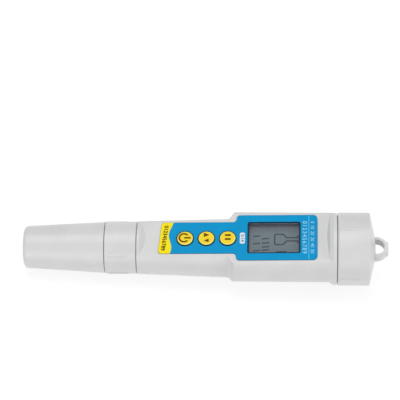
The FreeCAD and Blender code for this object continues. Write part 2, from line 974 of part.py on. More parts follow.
def make_battery_carrier():
    """An open-topped tray that holds the stack of cells, with a tab to pull it by."""
    inner_r = cell_r + slide_gap / 2
    front_x = bay_wall_x + seat_gap
    wall_x = cell_end_x + contact_thickness + seat_gap
    end_x = wall_x + carrier_end_wall
    tube = disc(front_x, end_x - front_x, carrier_r, 0, stack_z)
    hollow = disc(front_x - 1, wall_x - front_x + 1, inner_r, 0, stack_z)
    open_top = block(
        front_x - 1,
        wall_x,
        -carrier_r,
        carrier_r,
        stack_z + cell_r / 2,
        stack_z + carrier_r + 1,
    )
    tab = block(
        end_x,
        end_x + pull_tab_length,
        -pull_tab_width / 2,
        pull_tab_width / 2,
        stack_z - pull_tab_height / 2,
        stack_z + pull_tab_height / 2,
    )
    tips = [edge for edge in tab.Edges if edge.BoundBox.XMin > end_x + pull_tab_length / 2]
    tip_uprights = [edge for edge in tips if edge.BoundBox.ZLength > pull_tab_height / 2]
    tab = tab.makeFillet(pull_tab_length / 3, tip_uprights)
    return tube.cut([hollow, open_top]).fuse(tab)


def make_cell(index):
    """A button cell; its smaller negative end faces the spring."""
    x = cell_front_x + index * cell_height
    can = disc(x + cell_lip, cell_height - cell_lip, cell_r, 0, stack_z)
    lip = disc(x, cell_lip, cell_lip_r, 0, stack_z)
    return can.fuse(lip)


def make_spring_contact():
    """A folded leaf between the bay's front wall and the first cell."""
    half = cell_lip_r / 2
    thick = contact_thickness
    wall_x = bay_wall_x
    touch_x = cell_front_x
    top = stack_z + half
    bottom = stack_z - half
    outline = [
        Vector(wall_x, 0, bottom),
        Vector(wall_x, 0, top),
        Vector(wall_x + thick, 0, top),
        Vector(wall_x + thick, 0, bottom + 3 * thick),
        Vector(touch_x - thick, 0, stack_z),
        Vector(touch_x - thick, 0, top),
        Vector(touch_x, 0, top),
        Vector(touch_x, 0, stack_z - thick),
        Vector(wall_x + 2 * thick, 0, bottom),
    ]
    face = Part.Face(Part.makePolygon(outline + outline[:1]))
    face.translate(Vector(0, -half, 0))
    return face.extrude(ACROSS * (2 * half))


def make_plate_contact():
    """The far contact, held inside the tray's end wall."""
    return disc(cell_end_x, contact_thickness, cell_lip_r, 0, stack_z)


def make_battery_cap():
    rim_bore_r = battery_bore_r + 2 * cap_seal_r - slide_gap
    seal_room = 2 * cap_seal_r - battery_cap_gap + slide_gap
    rim_r = battery_cap_r
    end_bevel = battery_cap_bevel / 2
    inner_x = battery_cap_x + battery_cap_inner_length
    cap = turned(
        [
            (battery_cap_x, rim_bore_r),
            (battery_cap_x, rim_r - battery_cap_bevel / 2),
            (battery_cap_x + battery_cap_bevel, rim_r),
            (battery_rim_x - end_bevel, rim_r),
            (battery_rim_x, rim_r - end_bevel),
            (dome_end_x, dome_end_r),
            (dome_end_x, 0),
            (inner_x, 0),
            (inner_x, battery_bore_r),
            (battery_cap_x + seal_room, battery_bore_r),
            (battery_cap_x + seal_room, rim_bore_r),
        ]
    )
    rib_x = battery_cap_x + battery_cap_rib_inset
    rib = grip_rib(
        rib_x,
        rib_x + battery_cap_rib_length,
        battery_cap_rib_width,
        battery_cap_r,
        battery_cap_rib_height,
    )
    centre_x = lug_end_x - lug_outer_r - lug_hole_flat
    half = lug_thickness / 2
    eye = Part.makeCylinder(lug_outer_r, lug_thickness, Vector(centre_x, 0, -half), UP)
    root = block(dome_end_x - battery_cap_dome, centre_x, -lug_outer_r, lug_outer_r, -half, half)
    tab = block(centre_x, lug_end_x, -lug_tab_width / 2, lug_tab_width / 2, -half, half)
    end_edges = [edge for edge in tab.Edges if edge.CenterOfMass.x > lug_end_x - lug_tab_bevel]
    corners = [edge for edge in end_edges if edge.BoundBox.ZLength > half]
    tab = tab.makeChamfer(lug_tab_bevel, corners)
    bore = Part.makeCylinder(lug_hole_r, lug_thickness + 2, Vector(centre_x, 0, -half - 1), UP)
    flat_side = block(
        centre_x - lug_hole_flat,
        lug_end_x,
        -lug_hole_r,
        lug_hole_r,
        -half - 1,
        half + 1,
    )
    lug = eye.fuse([root, tab]).cut(bore.common(flat_side)).removeSplitter()
    return cap.fuse(around_axis(rib, battery_cap_rib_count, 0) + [lug])


def make_probe_seal():
    groove_x = cap_length - cap_mouth_depth / 2
    inner_r = spigot_r - seal_groove_depth + seal_slack
    half = ring_seal_r - seal_slack
    return seal_ring(groove_x - half, 2 * half, inner_r, spigot_r + seal_proud)


def make_cap_seal():
    inner_r = neck_r + seat_gap
    return seal_ring(flange_x + seat_gap, 2 * cap_seal_r, inner_r, inner_r + 2 * cap_seal_r)


def make_all():
    """Every piece by name."""
    pieces = {
        "sensor_cap": make_sensor_cap(),
        "collar_ring": make_collar_ring(),
        "probe_body": make_probe_body(),
        "electrode_front": make_electrode(-electrode_spread),
        "electrode_back": make_electrode(electrode_spread),
        "thermistor_tube": make_thermistor_tube(),
        "probe_seal": make_probe_seal(),
        "nose_seal": seal_ring(probe_flange_end_x, nose_seal_height, nose_bore_r, nose_r),
        "probe_plug": make_probe_plug(),
        "probe_socket": make_probe_socket(),
        "housing": make_housing(),
        "label": make_label(),
        "display_lens": make_display_lens(),
        "display_frame": make_display_frame(),
        "lcd_panel": make_lcd_panel(),
        "zebra_strip_front": on_flat(zebra_strip(-1, 0)),
        "zebra_strip_back": on_flat(zebra_strip(1, 0)),
        "main_board": make_main_board(),
        "controller_chip": make_controller_chip(),
        "crystal": make_crystal(),
        "trimmer_body": make_trimmer_body(),
        "trimmer_screw": make_trimmer_screw(),
        "keypad_mat": make_keypad_mat(),
        "bay_frame": make_bay_frame(),
        "bay_screws": make_bay_screws(),
        "battery_carrier": make_battery_carrier(),
        "spring_contact": make_spring_contact(),
        "plate_contact": make_plate_contact(),
        "battery_cap": make_battery_cap(),
        "cap_seal": make_cap_seal(),
    }
    for name, (x, y) in zip(button_names, button_places()):
        pieces[name] = make_button(x, y)
        pieces[name.replace("button", "switch")] = make_switch(x, y)
    for index in range(cell_count):
        pieces[f"cell_{index + 1}"] = make_cell(index)
    return pieces


os.makedirs("parts", exist_ok=True)
for name, shape in make_all().items():
    shape.exportStep(f"parts/{name}.step")
    state = "valid" if shape.isValid() else "not valid"
    print(name, state, len(shape.Solids), round(shape.Volume, 2))
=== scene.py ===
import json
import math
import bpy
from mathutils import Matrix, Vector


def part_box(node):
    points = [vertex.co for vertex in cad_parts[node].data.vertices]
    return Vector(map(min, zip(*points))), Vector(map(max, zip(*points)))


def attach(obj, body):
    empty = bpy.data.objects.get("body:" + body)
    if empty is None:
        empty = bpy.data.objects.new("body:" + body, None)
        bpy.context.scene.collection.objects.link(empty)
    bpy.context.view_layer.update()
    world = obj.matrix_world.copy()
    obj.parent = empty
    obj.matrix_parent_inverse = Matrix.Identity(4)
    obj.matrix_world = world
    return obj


bl_info = {
    "name": "Water quality test pen",
    "version": (1, 0, 0),
    "blender": (4, 5, 0),
    "location": "View3D > Sidebar > Test pen",
    "description": "Finishes, prints and stage for a pen-style water tester",
    "category": "Object",
}

import bmesh
import bpy
from bpy.props import FloatProperty, FloatVectorProperty, IntProperty, PointerProperty
from bpy.types import Operator, Panel, PropertyGroup
from mathutils import Matrix, Vector

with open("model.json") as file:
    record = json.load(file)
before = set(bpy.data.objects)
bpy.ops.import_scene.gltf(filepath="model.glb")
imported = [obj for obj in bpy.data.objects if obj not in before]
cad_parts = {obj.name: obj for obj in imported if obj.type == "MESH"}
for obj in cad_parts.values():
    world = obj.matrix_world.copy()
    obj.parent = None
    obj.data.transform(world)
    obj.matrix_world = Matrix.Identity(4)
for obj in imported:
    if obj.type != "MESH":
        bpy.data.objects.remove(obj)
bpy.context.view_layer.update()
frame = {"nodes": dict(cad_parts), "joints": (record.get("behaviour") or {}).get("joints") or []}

MM = 0.001

# Gap that keeps ink clear of the face it is printed on
INK_GAP = 0.02 * MM

# Thickness of the ink on the keys and round the window, and of the display's segments
PRINT_THICKNESS = 0.02 * MM
SEGMENT_THICKNESS = 0.01 * MM

# Shader noise stays mostly between these values
NOISE_LOW = 0.3
NOISE_HIGH = 0.7

# Height of a figure as a share of its font's size
FIGURE_SHARE = 0.7

# Sockets of a Mix node that hold its two colours and their mix
FIRST_COLOUR, SECOND_COLOUR, MIXED_COLOUR = 6, 7, 2


# Helpers for sizes


def srgb(red, green, blue):
    """Linear colour of a screen colour given from 0 to 255."""
    return tuple(
        (c / 255 / 12.92) if c / 255 <= 0.04045 else ((c / 255 + 0.055) / 1.055) ** 2.4
        for c in (red, green, blue)
    )


def scaled(colour, share):
    """A colour made darker or paler by a share."""
    return tuple(min(c * share, 1.0) for c in colour)


def radius_of(point):
    """Distance of a point from the pen's axis."""
    return math.hypot(point.y, point.z)


def node_points(node, x0, x1):
    """Vertices of a CAD node between two stations along the pen."""
    return [v.co for v in frame["nodes"][node].data.vertices if x0 <= v.co.x <= x1]


def nose_radius():
    """Radius of the housing's nose, which the seal at its end shares."""
    return max(map(radius_of, node_points("nose_seal", -1, 1)))


def travel(joint):
    """How far a sliding joint reaches."""
    return next(j["range_m"][1] for j in frame["joints"] if j["name"] == joint)


def film_face():
    """Front top point of the label and the rise of its face along the pen."""
    points = node_points("label", -1, 1)
    front = min(points, key=lambda p: p.x)
    rear = max(points, key=lambda p: p.z)
    return front.copy(), (rear.z - front.z) / (rear.x - front.x)


film_front, film_rise = film_face()


def film_place(x, y, lift):
    """Axes on the label's face: local x towards the user, y along the pen, z out."""
    tilt = math.atan(film_rise)
    along = Vector((math.cos(tilt), 0, math.sin(tilt)))
    out = Vector((-math.sin(tilt), 0, math.cos(tilt)))
    right = along.cross(out)
    origin = Vector((x, y, film_front.z + (x - film_front.x) * film_rise)) + out * lift
    place = Matrix((right, along, out)).transposed().to_4x4()
    place.translation = origin
    return place


def film_level():
    """Level of the label's face along its normal."""
    tilt = math.atan(film_rise)
    return film_front.z * math.cos(tilt) - film_front.x * math.sin(tilt)


def face_lift(node):
    """Height above the label's face at which ink lies on a node's top."""
    top = max(p.z - (p.x - film_front.x) * film_rise for p in node_points(node, -1, 1))
    return top - film_front.z + INK_GAP


def resting_plane():
    """Station, height and slope of the floor that the pen lies on."""
    points = []
    for node in ("sensor_cap", "collar_ring", "housing", "battery_cap"):
        points += [(v.co.x, v.co.z) for v in frame["nodes"][node].data.vertices]
    hull = []
    for x, z in sorted(points):
        while len(hull) > 1:
            (x0, z0), (x1, z1) = hull[-2:]
            if (x1 - x0) * (z - z0) > (z1 - z0) * (x - x0):
                break
            hull.pop()
        hull.append((x, z))
    middle = (hull[0][0] + hull[-1][0]) / 2
    rear = next(i for i, p in enumerate(hull) if p[0] > middle)
    (x0, z0), (x1, z1) = hull[rear - 1], hull[rear]
    return x0, z0, (z1 - z0) / (x1 - x0)


# Helpers for materials


class Finish:
    """A node material under construction, with its Principled shader."""

    def __init__(self, name, colour, roughness, metallic=0.0):
        self.material = bpy.data.materials.new(name)
        self.material.use_nodes = True
        self.nodes = self.material.node_tree.nodes
        self.links = self.material.node_tree.links
        self.shader = self.nodes["Principled BSDF"]
        self.set(Base_Color=(*colour, 1), Roughness=roughness, Metallic=metallic)
        self.place = self.nodes.new("ShaderNodeTexCoord").outputs["Object"]
        self.normal = None

    def feed(self, socket, value):
        """Links a socket to an input, or sets the input to a value."""
        if isinstance(value, bpy.types.NodeSocket):
            self.links.new(value, socket)
        else:
            socket.default_value = value

    def fill(self, node, **inputs):
        """Feeds a node's named inputs."""
        for name, value in inputs.items():
            self.feed(node.inputs[name.replace("_", " ")], value)
        return node

    def add(self, kind, **inputs):
        """A new node with its named inputs fed."""
        return self.fill(self.nodes.new(kind), **inputs)

    def set(self, **inputs):
        """Feeds the Principled shader's named inputs."""
        self.fill(self.shader, **inputs)

    def maths(self, operation, a, b=0.0, c=0.0):
        """Result of a Math node on sockets or values."""
        node = self.nodes.new("ShaderNodeMath")
        node.operation = operation
        for socket, value in zip(node.inputs, (a, b, c)):
            self.feed(socket, value)
        return node.outputs[0]

    def band(self, value, middle, half):
        """One where a value lies within half a width of a middle, nought elsewhere."""
        offset = self.maths("ABSOLUTE", self.maths("SUBTRACT", value, middle))
        return self.maths("LESS_THAN", offset, half)

    def split(self):
        """The place along the pen, across it, and out along the label's normal."""
        parts = self.add("ShaderNodeSeparateXYZ", Vector=self.place).outputs
        tilt = math.atan(film_rise)
        sunk = self.maths("MULTIPLY", parts["X"], -math.sin(tilt))
        out = self.maths("MULTIPLY_ADD", parts["Z"], math.cos(tilt), sunk)
        return parts["X"], parts["Y"], out

    def noise(self, size, detail=3.0, stretch=None):
        """Noise with features of a given real size."""
        place = self.place
        if stretch:
            mapping = self.add("ShaderNodeMapping", Vector=place, Scale=stretch)
            place = mapping.outputs[0]
        node = self.add("ShaderNodeTexNoise", Vector=place, Scale=1 / size, Detail=detail)
        return node.outputs["Fac"]

    def spread(self, value, low, high):
        """Maps noise to a range."""
        limits = {"From_Min": NOISE_LOW, "From_Max": NOISE_HIGH, "To_Min": low, "To_Max": high}
        return self.add("ShaderNodeMapRange", Value=value, **limits).outputs[0]

    def blend(self, share, first, second):
        """Mix of two colours or colour sockets."""
        node = self.nodes.new("ShaderNodeMix")
        node.data_type = "RGBA"
        self.links.new(share, node.inputs["Factor"])
        for index, value in ((FIRST_COLOUR, first), (SECOND_COLOUR, second)):
            is_socket = isinstance(value, bpy.types.NodeSocket)
            self.feed(node.inputs[index], value if is_socket else (*value, 1))
        return node.outputs[MIXED_COLOUR]

    def colour(self, socket):
        """Sets the base colour."""
        self.set(Base_Color=socket)

    def cover(self, share, colour):
        """Lays a colour over the base colour, by a share."""
        base = self.shader.inputs["Base Color"].links[0].from_socket
        self.colour(self.blend(share, base, colour))

    def rough(self, size, low, high):
        """Lets the roughness wander between two values, in patches of a given size."""
        self.set(Roughness=self.spread(self.noise(size), low, high))

    def bump(self, height, depth):
        """Adds relief of a given real depth to what is there already."""
        node = self.add("ShaderNodeBump", Height=height, Distance=depth, Strength=1.0)
        if self.normal:
            self.fill(node, Normal=self.normal)
        self.normal = node.outputs[0]
        self.set(Normal=self.normal)


def paint(finish, *nodes):
    """Gives CAD nodes their finish in every material slot."""
    for node in nodes:
        piece = frame["nodes"][node]
        if not piece.material_slots:
            piece.data.materials.append(finish.material)
        for slot in piece.material_slots:
            slot.material = finish.material


def moulded(name, colour, roughness, grain=0.35 * MM, depth=0.012 * MM):
    """Moulded plastic: fine spark grain, slow flow marks and faint handling scuffs."""
    flow_size, flow_dark, flow_pale = 14 * MM, 0.955, 1.02
    patch_size, smoother, rougher = 2.5 * MM, 0.06, 0.07
    scuff_size, scuff_stretch, scuff_depth = 0.9 * MM, (0.12, 1.0, 1.0), depth / 3
    finish = Finish(name, colour, roughness)
    flow = finish.spread(finish.noise(flow_size, detail=4), 0, 1)
    finish.colour(finish.blend(flow, scaled(colour, flow_dark), scaled(colour, flow_pale)))
    finish.rough(patch_size, roughness - smoother, roughness + rougher)
    finish.bump(finish.noise(grain, detail=2), depth)
    scuffs = finish.noise(scuff_size, detail=6, stretch=scuff_stretch)
    finish.bump(finish.spread(scuffs, 0, 1), scuff_depth)
    return finish


def inked(name, colour):
    """Flat print: little gloss and a faint screen grain."""
    gloss = 0.08
    finish = moulded(name, colour, roughness=0.55, grain=0.2 * MM, depth=0.004 * MM)
    finish.set(Specular_IOR_Level=gloss)
    return finish


def surfaced(name, colour, roughness, patch, grain, depth, metallic=0.0, stretch=None):
    """Rubber or metal: roughness that wanders between two values, and fine relief."""
    finish = Finish(name, colour, sum(roughness) / 2, metallic)
    finish.rough(patch, *roughness)
    finish.bump(finish.noise(grain, stretch=stretch), depth)
    return finish


# Helpers for pieces


def place_piece(name, mesh, place, finish, body):
    """Links a mesh as a piece that rides on a body."""
    piece = bpy.data.objects.new(name, mesh)
    bpy.context.scene.collection.objects.link(piece)
    piece.matrix_world = place
    mesh.materials.append(finish.material)
    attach(piece, body)
    return piece


def printed(name, strips, thickness, place, finish, body):
    """Ink as thin raised shapes; each strip is a list of polygons."""
    merge_distance = 0.001 * MM
    bm = bmesh.new()
    for strip in strips:
        for polygon in strip:
            bm.faces.new([bm.verts.new((x, y, 0)) for x, y in polygon])
    bmesh.ops.remove_doubles(bm, verts=bm.verts, dist=merge_distance)
    bmesh.ops.recalc_face_normals(bm, faces=bm.faces)
    if bm.faces[:][0].normal.z < 0:
        bmesh.ops.reverse_faces(bm, faces=bm.faces)
    bmesh.ops.solidify(bm, geom=bm.faces[:], thickness=-thickness)
    bmesh.ops.recalc_face_normals(bm, faces=bm.faces)
    mesh = bpy.data.meshes.new(name)
    bm.to_mesh(mesh)
    bm.free()
    return place_piece(name, mesh, place, finish, body)


def stroke(points, width, closed=False):
    """Quads along a line of points, mitred at the corners."""
    sharpest = 0.3
    points = [Vector(p) for p in points]
    count = len(points)
    sides = []
    for i, point in enumerate(points):
        before = points[i - 1] if (i or closed) else None
        after = points[(i + 1) % count] if (i < count - 1 or closed) else None
        back = (point - before).normalized() if before else None
        ahead = (after - point).normalized() if after else None
        back = back or ahead
        ahead = ahead or back
        middle = (back + ahead).normalized()
        across = Vector((-middle.y, middle.x))
        reach = width / 2 / max(across.dot(Vector((-back.y, back.x))), sharpest)
        sides.append((point + across * reach, point - across * reach))
    quads = []
    for i in range(count if closed else count - 1):
        (a, b), (c, d) = sides[i], sides[(i + 1) % count]
        quads.append([b, d, c, a])
    return quads


def arc_points(centre, radius, start, end, steps):
    """Points on an arc, angles in degrees."""
    angles = [math.radians(start + (end - start) * i / steps) for i in range(steps + 1)]
    x, y = centre
    return [(x + radius * math.cos(a), y + radius * math.sin(a)) for a in angles]


def rounded_points(half_x, half_y, radius, steps=6):
    """Outline of a rounded rectangle about the origin."""
    points = []
    for sx, sy, start in ((1, 1, 0), (-1, 1, 90), (-1, -1, 180), (1, -1, 270)):
        centre = (sx * (half_x - radius), sy * (half_y - radius))
        points += arc_points(centre, radius, start, start + 90, steps)
    return points


def printed_number(name, text, height, place, thickness, finish, bold):
    """A number printed on the label."""
    curve = bpy.data.curves.new(name, "FONT")
    curve.body = text
    curve.size = height / FIGURE_SHARE
    curve.align_x = "CENTER"
    curve.align_y = "CENTER"
    curve.extrude = thickness / 2
    curve.offset = bold
    curve.resolution_u = 4
    writer = bpy.data.objects.new(name + "_text", curve)
    bpy.context.scene.collection.objects.link(writer)
    bpy.context.view_layer.update()
    mesh = bpy.data.meshes.new_from_object(writer)
    bpy.data.objects.remove(writer)
    bpy.data.curves.remove(curve)
    return place_piece(name, mesh, place, finish, "housing")


def thread_ridge(name, x0, x1, surface_r, pitch, depth, finish, body):
    """A screw thread's ridge about the pen's axis; a negative depth points inwards."""
    steps_per_turn = 64
    foot_half = pitch * 0.2
    crest_half = pitch * 0.08
    fade_turns = 0.25
    lowest = 0.05
    sharp_angle = math.radians(35)
    sunk = 0.1 * MM
    root_r = surface_r - math.copysign(sunk, depth)
    turns = (x1 - x0 - 2 * foot_half) / pitch
    count = max(int(turns * steps_per_turn), 2)
    bm = bmesh.new()
    rows = []
    for i in range(count + 1):
        share = i / count
        fade = min(share, 1 - share) * turns / fade_turns
        crest_r = surface_r + depth * min(1.0, max(fade, lowest))
        angle = share * turns * 2 * math.pi
        middle = x0 + foot_half + share * turns * pitch
        section = (
            (-foot_half, root_r),
            (-foot_half, surface_r),
            (-crest_half, crest_r),
            (crest_half, crest_r),
            (foot_half, surface_r),
            (foot_half, root_r),
        )
        rows.append(
            [
                bm.verts.new((middle + dx, r * math.cos(angle), r * math.sin(angle)))
                for dx, r in section
            ]
        )
    for first, second in zip(rows, rows[1:]):
        for j in range(len(first)):
            k = (j + 1) % len(first)
            bm.faces.new((first[j], first[k], second[k], second[j]))
    bm.faces.new(rows[0])
    bm.faces.new(rows[-1][::-1])
    bmesh.ops.recalc_face_normals(bm, faces=bm.faces)
    mesh = bpy.data.meshes.new(name)
    bm.to_mesh(mesh)
    bm.free()
    mesh.shade_smooth()
    mesh.set_sharp_from_angle(angle=sharp_angle)
    return place_piece(name, mesh, Matrix(), finish, body)


# Settings

COLOUR = {"subtype": "COLOR", "size": 3, "min": 0, "max": 1}


class ShellSettings(PropertyGroup):
    shell_colour: FloatVectorProperty(
        name="Shell colour",
        description="Moulded plastic of the housing, collar and both caps",
        default=srgb(216, 216, 216),
        **COLOUR,
    )
    roughness: FloatProperty(
        name="Shell roughness",
        description="How matt the moulded plastic is",
        default=0.36,
        min=0.05,
        max=1,
        subtype="FACTOR",
    )
    thread_depth: FloatProperty(
        name="Thread depth",
        description="Height of the screw threads' ridges",
        default=0.42 * MM,
        unit="LENGTH",
    )
    thread_turns: IntProperty(
        name="Thread turns",
        description="Turns that undo the collar or the battery cap",
        default=4,
    )


class LabelSettings(PropertyGroup):
    film_blue: FloatVectorProperty(
        name="Film blue",
        description="Main colour of the label film",
        default=srgb(10, 154, 212),
        **COLOUR,
    )
    film_yellow: FloatVectorProperty(
        name="Film yellow",
        description="Colour of the strip at the sensor end",
        default=srgb(255, 234, 34),
        **COLOUR,
    )
    ink_brown: FloatVectorProperty(
        name="Dark ink",
        description="Ink of the figures on yellow",
        default=srgb(88, 58, 0),
        **COLOUR,
    )
    ink_pale: FloatVectorProperty(
        name="Pale ink",
        description="Ink of the figures and lines on blue",
        default=srgb(150, 214, 250),
        **COLOUR,
    )
    # Painted shade: the film's cut edges lie down in the grooves round the keys and the window
    edge_navy: FloatVectorProperty(
        name="Cut edge",
        description="Colour of the film's cut edges round the keys and the window",
        default=srgb(24, 62, 78),
        **COLOUR,
    )
    strip_width: FloatProperty(
        name="Yellow strip",
        description="From the label's front corner to the middle of the wavy edge",
        default=6.0 * MM,
        unit="LENGTH",
    )
    wave_swing: FloatProperty(
        name="Wave swing",
        description="How far the edge between the colours waves to each side",
        default=0.97 * MM,
        unit="LENGTH",
    )
    wave_length: FloatProperty(
        name="Wave length",
        description="Distance between two crests of the wavy edge",
        default=17.2 * MM,
        unit="LENGTH",
    )
    wave_crest: FloatProperty(
        name="Wave crest",
        description="How far the front crest lies from the pen's middle",
        default=6.4 * MM,
        unit="LENGTH",
    )
    wave_slant: FloatProperty(
        name="Wave slant",
        description="Rise of the wavy edge's middle line across the label",
        default=0.055,
    )
    ink_thickness: FloatProperty(
        name="Ink thickness",
        description="Thickness of the print on the film",
        default=0.02 * MM,
        unit="LENGTH",
    )


class DisplaySettings(PropertyGroup):
    glass_colour: FloatVectorProperty(
        name="Display grey",
        description="Colour of the switched-off display",
        default=srgb(122, 136, 143),
        **COLOUR,
    )
    segment_colour: FloatVectorProperty(
        name="Segment grey",
        description="Colour of the faint segments",
        default=srgb(80, 90, 95),
        **COLOUR,
    )
    # Painted shade: the dark line round the window stands in for the shade at the foot of its
    # opening
    border_colour: FloatVectorProperty(
        name="Border colour",
        description="Printed line round the window",
        default=srgb(30, 58, 76),
        **COLOUR,
    )
    border_width: FloatProperty(
        name="Border width",
        description="Width of the printed line round the window",
        default=0.85 * MM,
        unit="LENGTH",
    )
    digit_height: FloatProperty(
        name="Digit height",
        description="Height of the main digits",
        default=9.2 * MM,
        unit="LENGTH",
    )
    segment_width: FloatProperty(
        name="Segment width",
        description="Line width of the segments",
        default=0.8 * MM,
        unit="LENGTH",
    )


class KeySettings(PropertyGroup):
    key_colour: FloatVectorProperty(
        name="Key yellow",
        description="Rubber of the three keys",
        default=srgb(250, 220, 24),
        **COLOUR,
    )
    # Painted highlight: the bevelled rims get a paler yellow where they catch the light
    rim_colour: FloatVectorProperty(
        name="Rim yellow",
        description="Paler yellow of the keys' bevelled rims",
        default=srgb(255, 240, 130),
        **COLOUR,
    )
    # Painted shade: the keys' sides down in their holes get a dark olive
    side_colour: FloatVectorProperty(
        name="Side olive",
        description="Dark sides of the keys, down in their holes",
        default=srgb(40, 56, 26),
        **COLOUR,
    )
    mark_colour: FloatVectorProperty(
        name="Mark brown",
        description="Ink of the marks on the keys",
        default=srgb(112, 76, 6),
        **COLOUR,
    )
    mark_width: FloatProperty(
        name="Mark width",
        description="Line width of the marks on the keys",
        default=0.9 * MM,
        unit="LENGTH",
    )


class StageSettings(PropertyGroup):
    lens: FloatProperty(
        name="Lens",
        description="Focal length on a 36 mm wide sensor, in millimetres",
        default=190.85,
        unit="CAMERA",
    )
    distance: FloatProperty(
        name="Camera distance",
        description="From the camera to the pen's axis",
        default=1.1,
        unit="LENGTH",
    )
    elevation: FloatProperty(
        name="Elevation",
        description="Camera height as an angle above the pen",
        subtype="ANGLE",
        default=math.radians(58),
    )
    camera_station: FloatProperty(
        name="Camera station",
        description="Where the camera stands along the pen",
        default=141.0 * MM,
        unit="LENGTH",
    )
    aim_station: FloatProperty(
        name="Aim station",
        description="Where the picture's middle falls along the pen",
        default=91.07 * MM,
        unit="LENGTH",
    )
    aim_above: FloatProperty(
        name="Aim above",
        description="How far above the axis the picture's middle falls, seen from the camera",
        default=24.95 * MM,
        unit="LENGTH",
    )
    roll: FloatProperty(
        name="Roll",
        description="Turn of the camera about its view",
        subtype="ANGLE",
        default=math.radians(-3.62),
    )
    room_light: FloatProperty(
        name="Room light",
        description="Strength of the even light from all sides",
        default=0.47,
    )
    lamp_power: FloatProperty(
        name="Lamp power",
        description="Power that the soft lamps share out, in watts",
        default=8.5,
        unit="POWER",
    )


# Operators


class TESTPEN_OT_shell(Operator):
    """Finish the housing, the collar and both caps, and cut their threads"""

    bl_idname = "testpen.shell"
    bl_label = "Shell"

    def execute(self, context):
        settings = context.scene.testpen_shell
        shell = moulded("shell_plastic", settings.shell_colour, settings.roughness)
        self.brighten_seams(shell)
        paint(shell, "collar_ring", "sensor_cap", "battery_cap")
        paint(self.housing_finish(settings), "housing")
        self.collar_threads(settings, shell)
        self.battery_threads(settings, shell)
        return {"FINISHED"}

    def brighten_seams(self, finish):
        """Painted light: near-white plastic colour on the walls of the seams at both ends of the
        collar, where the gaps lie in shade.
        """
        reach = 0.7 * MM
        inner_r = nose_radius() + 0.15 * MM
        outer_r = 12.95 * MM
        paler = srgb(252, 252, 252)
        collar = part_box("collar_ring")
        middle = (collar[0].x + collar[1].x) / 2
        half = (collar[1].x - collar[0].x) / 2
        parts = finish.add("ShaderNodeSeparateXYZ", Vector=finish.place).outputs
        offset = finish.maths("ABSOLUTE", finish.maths("SUBTRACT", parts["X"], middle))
        near = finish.band(offset, half, reach)
        square = finish.maths("MULTIPLY", parts["Y"], parts["Y"])
        square = finish.maths("MULTIPLY_ADD", parts["Z"], parts["Z"], square)
        radius = finish.maths("SQRT", square)
        deep = finish.band(radius, (inner_r + outer_r) / 2, (outer_r - inner_r) / 2)
        # Painted light in the shaded seams: their walls take a near-white colour
        finish.cover(finish.maths("MULTIPLY", near, deep), paler)

    def housing_finish(self, settings):
        """The shell's plastic, with painted light on the shaded walls of the window's opening,
        tinted pale violet.
        """
        wall_top = film_level() - 0.55 * MM
        painted_wall_light = srgb(232, 224, 238)
        finish = moulded("housing_plastic", settings.shell_colour, settings.roughness)
        self.brighten_seams(finish)
        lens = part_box("display_lens")
        middle = (lens[0] + lens[1]) / 2
        half = (lens[1] - lens[0]) / 2
        along, across, out = finish.split()
        near_x = finish.band(along, middle.x, half.x)
        near_y = finish.band(across, 0.0, half.y)
        below = finish.maths("LESS_THAN", out, wall_top)
        wall = finish.maths("MULTIPLY", finish.maths("MULTIPLY", near_x, near_y), below)
        # Painted light: the walls down in the window's opening are made pale violet against their
        # shade
        finish.cover(wall, painted_wall_light)
        return finish

    def collar_threads(self, settings, shell):
        """The thread on the nose and the collar's, half a pitch apart."""
        front_margin, rear_margin = 0.6 * MM, 0.8 * MM
        collar_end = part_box("collar_ring")[1].x
        flange_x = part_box("nose_seal")[1].x
        bore_r = min(radius_of(p) for p in node_points("collar_ring", flange_x, collar_end))
        pitch = travel("probe_travel") / settings.thread_turns
        depth = settings.thread_depth
        x0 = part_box("housing")[0].x + front_margin
        x1 = collar_end - rear_margin
        thread_ridge("nose_thread", x0, x1, nose_radius(), pitch, depth, shell, "housing")
        thread_ridge("collar_thread", x0 + pitch / 2, x1, bore_r, pitch, -depth, shell, "collar")

    def battery_threads(self, settings, shell):
        """The thread on the neck and the battery cap's, half a pitch apart."""
        seal_margin, end_margin = 1.0 * MM, 0.4 * MM
        neck_sample, bore_sample = 0.1 * MM, 1.2 * MM
        cap_turns = 2.4
        seal_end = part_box("cap_seal")[1].x
        neck_end = max(p.x for p in node_points("housing", -1, 1))
        neck = node_points("housing", neck_end - neck_sample, neck_end)
        bore = node_points("battery_cap", seal_end, seal_end + bore_sample)
        neck_r = max(map(radius_of, neck))
        bore_r = min(map(radius_of, bore))
        pitch = travel("battery_cap_travel") / settings.thread_turns
        depth = settings.thread_depth
        x0 = seal_end + seal_margin
        x1 = neck_end - end_margin
        thread_ridge("neck_thread", x0, x1, neck_r, pitch, depth, shell, "housing")
        x0 += pitch / 2
        x1 = x0 + cap_turns * pitch
        if x1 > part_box("battery_cap")[1].x:
            raise RuntimeError("the battery cap is too short for its thread")
        thread_ridge("battery_cap_thread", x0, x1, bore_r, pitch, -depth, shell, "battery_cap")


